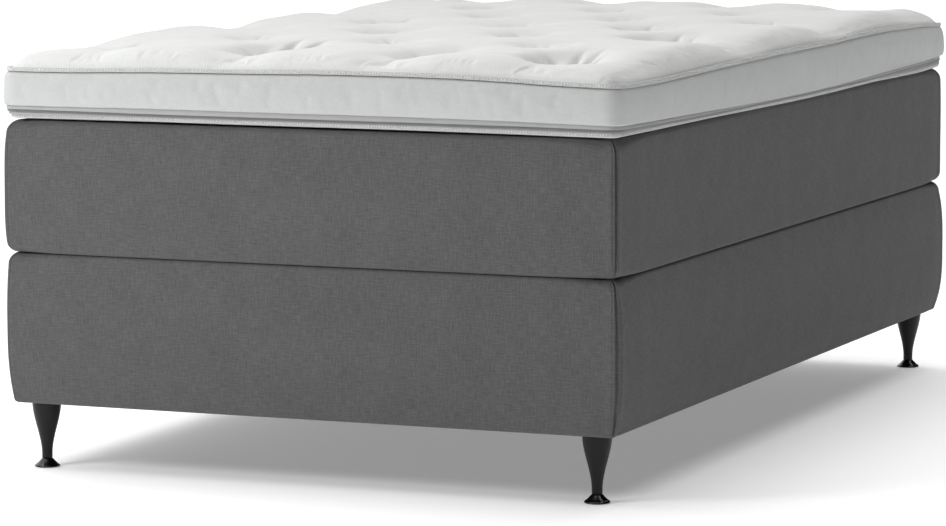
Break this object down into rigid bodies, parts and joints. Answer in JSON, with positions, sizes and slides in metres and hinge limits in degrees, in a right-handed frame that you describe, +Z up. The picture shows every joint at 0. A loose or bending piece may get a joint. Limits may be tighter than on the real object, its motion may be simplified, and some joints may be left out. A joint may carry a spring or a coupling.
{
  "type": "box spring bed",
  "caption": "Single continental bed: upholstered sprung base on turned black legs, sprung mattress and a white tufted topper with a zipped cover.",
  "frame": {"origin": "on the floor under the middle of the bed", "axes": "+Z up, +Y towards the head end, +X to the right seen from the foot end"},
  "size_m": [1.236, 2.024, 0.7882],
  "materials": {
    "grey_weave": "woven melange upholstery cloth",
    "white_knit": "quilted stretch knit",
    "white_tape": "folded edge tape with lockstitch",
    "zip_tape": "woven polyester zip tape",
    "zip_coil": "polyester coil",
    "black_lacquer": "turned beech, black satin lacquer",
    "black_plastic": "moulded, glossy",
    "zinc_steel": "zinc plated",
    "nickel": "nickel plated",
    "beech": "planed beech",
    "pine": "planed pine",
    "nonwoven": "spunbond nonwoven",
    "wadding": "polyester wadding",
    "felt": "needled felt",
    "foam": "polyurethane foam",
    "pocket_cloth": "spunbond pockets with steel springs inside"
  },
  "bodies": {
    "base": {"base_centre_beam": "pine", "base_cover": "grey_weave", "base_dust_cloth": "nonwoven", "base_edge_foam": "foam", "base_felt_lower": "felt", "base_felt_upper": "felt", "base_foam_pad": "foam", "base_foot_rail": "pine", "base_head_rail": "pine", "base_padding": "wadding", "base_side_rail_left": "pine", "base_side_rail_right": "pine", "base_slat_1": "pine", "base_slat_2": "pine", "base_slat_3": "pine", "base_slat_4": "pine", "base_slat_5": "pine", "base_slat_6": "pine", "base_slat_7": "pine", "base_slat_8": "pine", "base_slat_9": "pine", "base_spring_unit": "pocket_cloth", "foot_front_left": "black_plastic", "foot_front_right": "black_plastic", "foot_rear_left": "black_plastic", "foot_rear_right": "black_plastic", "leg_block_front_left": "beech", "leg_block_front_right": "beech", "leg_block_rear_left": "beech", "leg_block_rear_right": "beech", "leg_bolt_front_left": "zinc_steel", "leg_bolt_front_right": "zinc_steel", "leg_bolt_rear_left": "zinc_steel", "leg_bolt_rear_right": "zinc_steel", "leg_front_left": "black_lacquer", "leg_front_right": "black_lacquer", "leg_insert_front_left": "zinc_steel", "leg_insert_front_right": "zinc_steel", "leg_insert_rear_left": "zinc_steel", "leg_insert_rear_right": "zinc_steel", "leg_rear_left": "black_lacquer", "leg_rear_right": "black_lacquer"},
    "mattress": {"mattress_bottom_foam": "foam", "mattress_comfort_foam": "foam", "mattress_cover": "grey_weave", "mattress_edge_foam": "foam", "mattress_felt_lower": "felt", "mattress_felt_upper": "felt", "mattress_spring_unit": "pocket_cloth", "mattress_underside_cloth": "nonwoven"},
    "topper": {"topper_core": "foam", "topper_cover": "white_knit", "topper_tape_edge_lower": "white_tape", "topper_tape_edge_upper": "white_tape", "topper_underside": "white_knit", "topper_zip_chain": "zip_coil", "topper_zip_tape_lower": "zip_tape", "topper_zip_tape_upper": "zip_tape"},
    "zip_slider": {"topper_zip_slider": "nickel"},
    "zip_pull": {"topper_zip_pull": "nickel"}
  },
  "joints": [
    {"name": "mattress_lift", "type": "slide", "parent": "base", "child": "mattress", "axis": [0, 0, 1], "range_m": [0, 0.3]},
    {"name": "topper_lift", "type": "slide", "parent": "mattress", "child": "topper", "axis": [0, 0, 1], "range_m": [0, 0.3]},
    {"name": "zip_slide", "type": "slide", "parent": "topper", "child": "zip_slider", "axis": [1, 0, 0], "range_m": [0, 0.9]},
    {"name": "zip_pull_swing", "type": "hinge", "parent": "zip_slider", "child": "zip_pull", "pos_m": [-0.4545, 1.0013, 0.6726], "axis": [1, 0, 0], "range_deg": [0, 140]}
  ]
}
